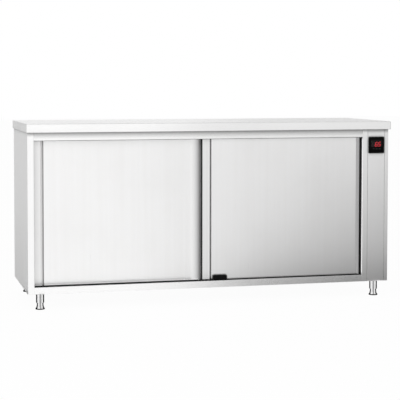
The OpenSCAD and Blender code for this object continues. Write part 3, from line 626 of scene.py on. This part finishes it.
CAMERA_X, CAMERA_Y, CAMERA_Z = -1.5675, -6.0, 1.064
CAMERA_DIP, CAMERA_TURN = 0.0501, 0.2399   # radians below the level and to the right
camera_data = bpy.data.cameras.new("camera")
camera_data.sensor_width = 36.0
camera_data.lens = 111.5
camera_data.shift_x = 0.05
camera_data.shift_y = -0.14
camera_data.clip_end = 100.0
camera = bpy.data.objects.new("camera", camera_data)
camera.location = (CAMERA_X, CAMERA_Y, CAMERA_Z)
camera.rotation_euler = Euler((math.pi / 2 - CAMERA_DIP, 0.0, -CAMERA_TURN))
scene.collection.objects.link(camera)
scene.camera = camera
scene.view_settings.view_transform = "Standard"

LAMP_PLACE, LAMP_TARGET = Vector((-2.6, -3.6, 3.0)), Vector((-0.2, -0.2, 0.5))
lamp_data = bpy.data.lights.new("key_soft", "AREA")
lamp_data.shape = "RECTANGLE"
lamp_data.size = 2.4
lamp_data.size_y = 1.6
lamp_data.energy = 60.0
lamp = bpy.data.objects.new("key_soft", lamp_data)
lamp.location = LAMP_PLACE
lamp.rotation_euler = (LAMP_TARGET - LAMP_PLACE).to_track_quat("-Z", "Y").to_euler()
scene.collection.objects.link(lamp)


# Studio cards that only show in the metal's reflections: painted reflections that set where the metal looks
# lighter or darker

def ramp_along(shader, direction, start, end, smooth=True):
    """0 to 1 along a direction in space."""
    along = shader.node("VectorMath")
    along.operation = "DOT_PRODUCT"
    shader.feed(along.inputs[0], shader.node("TexCoord").outputs["Object"])
    shader.feed(along.inputs[1], direction)
    return shader.spread(along.outputs["Value"], start=start, end=end, smooth=smooth)


def card_material(name, levels, along=None, plateau=1.0, fade=None):
    """A grey card: levels is its value, or a list of places and values along a direction.

    A fade, which is a direction, its start and its end, leads from the plateau's value to the levels.
    """
    material, shader = bare_material(name)
    if along is None:
        color = (*grey(levels), 1)
    else:
        start, end = levels[0][0], levels[-1][0]
        curve = shader.node("ValToRGB", Fac=ramp_along(shader, along, start, end, smooth=False))
        stops = curve.color_ramp.elements
        while len(stops) < len(levels):
            stops.new(0.5)
        for stop, (place, value) in zip(stops, levels):
            stop.position = (place - start) / (end - start)
            stop.color = (*grey(value), 1)
        color = curve.outputs["Color"]
        if fade:
            color = shader.blend(ramp_along(shader, *fade), grey(plateau), color)
    glow = shader.node("Emission", Color=color)
    shader.node("OutputMaterial", Surface=glow.outputs["Emission"])
    return material


def flat_card(name, x, y, z, levels, **look):
    """A card that lies at the height z, between two places along X and two along Y."""
    points = [(x[0], y[0], z), (x[1], y[0], z), (x[1], y[1], z), (x[0], y[1], z)]
    stage_mesh(name, points, [(0, 1, 2, 3)], card_material(name, levels, **look), reflected_only=True)


def wall_card(name, outline, z, levels, **look):
    """A card that stands between two heights along an outline of X and Y points."""
    points = [(x, y, height) for height in z for x, y in outline]
    count = len(outline)
    faces = [(i, i + 1, count + i + 1, count + i) for i in range(count - 1)]
    stage_mesh(name, points, faces, card_material(name, levels, **look), reflected_only=True)


ALONG_X, ALONG_Y, DOWN = (1.0, 0.0, 0.0), (0.0, 1.0, 0.0), (0.0, 0.0, -1.0)
FRONT = -2.4   # Y of the cards that stand before the cabinet
NEAR = -0.34   # Y where the cards on the floor end, just before the worktop
RIGHT = 0.9    # X of the cabinet's right end
LEFT = -0.93   # X of the cabinet's left end, with a little room

flat_card("card_floor", x=(-0.6, 6.0), y=(FRONT, NEAR), z=0.002,
          levels=[(-0.8, 1.0), (-0.36, 0.95), (-0.26, 0.92), (-0.14, 0.86), (-0.01, 0.62), (0.08, 0.50),
                  (0.18, 0.42), (0.34, 0.36), (0.54, 0.30), (0.69, 0.18), (0.94, 0.10), (2.2, 0.08)],
          along=(1.0, 0.33, 0.0), plateau=0.9, fade=(ALONG_Y, -4.0, -0.4))
flat_card("card_near_right", x=(-0.3, 3.0), y=(-0.90, NEAR), z=0.003,
          levels=[(-0.3, 0.93), (-0.1, 0.85), (0.1, 0.55), (0.3, 0.33), (0.5, 0.22), (0.7, 0.15),
                  (0.95, 0.09), (1.3, 0.06)], along=ALONG_X)
wall_card("card_step", [(-0.1, FRONT), (RIGHT, FRONT)], z=(0.0, 3.0),
          levels=[(-0.1, 1.0), (0.15, 0.99), (0.50, 0.805), (RIGHT, 0.81)], along=ALONG_X)
wall_card("card_right", [(RIGHT, FRONT), (7.0, FRONT)], z=(0.0, 3.0),
          levels=[(0.3, 0.83), (0.9, 0.80), (1.5, 0.45), (2.4, 0.20)], along=(1.0, 0.0, -0.6),
          plateau=0.83, fade=(DOWN, -0.85, 0.05))
wall_card("card_far_right", [(2.6, FRONT), (2.6, 1.0)], z=(0.0, 2.0), levels=0.15)
flat_card("card_left", x=(-5.0, LEFT), y=(0.3, 5.5), z=0.002,
          levels=[(0.3, 0.48), (4.0, 0.6)], along=ALONG_Y)
wall_card("card_left_back", [(-5.0, 0.3), (-5.0, 5.5), (LEFT, 5.5)], z=(0.0, 3.0), levels=0.62)
wall_card("card_back", [(-3.0, 6.0), (8.0, 6.0)], z=(0.3, 4.0),
          levels=[(1.4, 0.84), (2.3, 0.70)], along=ALONG_X)
flat_card("card_top", x=(-5.0, 5.0), y=(-2.2, 0.6), z=3.2, levels=0.40)
# Painted shadow: a dark card under the cabinet that the metal reflects where the floor lies in the cabinet's
# shade
flat_card("card_under", x=(-1.2, 1.2), y=(-0.22, 0.27), z=0.0015, levels=0.03)

# Narrow cards over the sill, before the front door's leading edge and in the gap before the post: painted
# highlights and painted shade that only the metal reflects
SILL_CARD_LIFT, SILL_CARD_DEPTH = 0.0015, 0.0220
SILL_CARD_INSET = 0.0003   # from the rear door's bead back to the card's rear edge
SILL_CARD_ROOM = 0.0080    # between the card's right end and the front door
rear_pull_low = corners("left_door_pull")[0]
post_low = corners("right_post")[0]
door_heights = (pull_low.z, pull_high.z)
sill_card_back = rear_pull_low.y + SILL_CARD_INSET
# Painted highlight: a white card that the rear door's lower edge reflects
flat_card("card_sill", x=(rear_pull_low.x, pull_low.x - SILL_CARD_ROOM),
          y=(sill_card_back - SILL_CARD_DEPTH, sill_card_back), z=rail_high.z + SILL_CARD_LIFT, levels=1.0)
# Painted shade: a card that darkens towards the front door's leading edge, reflected in the rear door beside
# that edge
EDGE_CARD_ROOM = 0.007   # between the card and the front door's back
# Distances before the leading edge, and values there
EDGE_LEVELS = [(0.0440, 0.87), (0.0340, 0.80), (0.0220, 0.64), (0.0130, 0.42), (0.0035, 0.12)]
edge_levels = [(pull_low.x - distance, value) for distance, value in EDGE_LEVELS]
edge_card_y = pull_high.y - EDGE_CARD_ROOM
wall_card("card_edge", [(edge_levels[0][0], edge_card_y), (edge_levels[-1][0], edge_card_y)], door_heights,
          edge_levels, along=ALONG_X)
# Painted highlight on the post's return from the white card, and painted shade deeper in the gap from the
# dark ones
# Distance before the post, depths behind its front where the card starts and ends, and value
GAP_CARDS = {"card_gap": (0.0004, 0.0110, 0.0004, 1.0), "card_gap_black": (0.0007, 0.0400, 0.0110, 0.01),
             "card_gap_dark": (0.0010, 0.0400, 0.0, 0.36)}
for name, (before, back, front, value) in GAP_CARDS.items():
    x = post_low.x - before
    wall_card(name, [(x, post_low.y + back), (x, post_low.y + front)], door_heights, value)

# Low cards round each leg: dark at its sides, light in front, and grey in the middle; painted reflections
# that give the polished legs and feet dark edges and light bands
TENT_RADIUS, TENT_FOOT, TENT_TOP = 0.055, 0.001, 0.072
TENT_STEP = 12   # degrees between the points of an outline
# Start and end in degrees from the way to the camera, and value
TENT_SECTORS = {"dark_left": (-175, -72, 0.01), "light_left": (-72, -22, 1.0), "grey_left": (-22, 0, 0.60),
                "grey_right": (0, 30, 0.33), "light_right": (30, 72, 1.0), "dark_right": (72, 175, 0.01)}
for foot, middle in foot_middles.items():
    toward = math.atan2(middle.x - CAMERA_X, middle.y - CAMERA_Y)
    for sector, (start, end, value) in TENT_SECTORS.items():
        count = max(2, round((end - start) / TENT_STEP))
        angles = [math.radians(between(start, end, i / count)) - toward for i in range(count + 1)]
        outline = [(middle.x + TENT_RADIUS * math.sin(angle), middle.y - TENT_RADIUS * math.cos(angle))
                   for angle in angles]
        wall_card(f"{foot.replace('foot', 'tent')}_{sector}", outline, (TENT_FOOT, TENT_TOP), value)
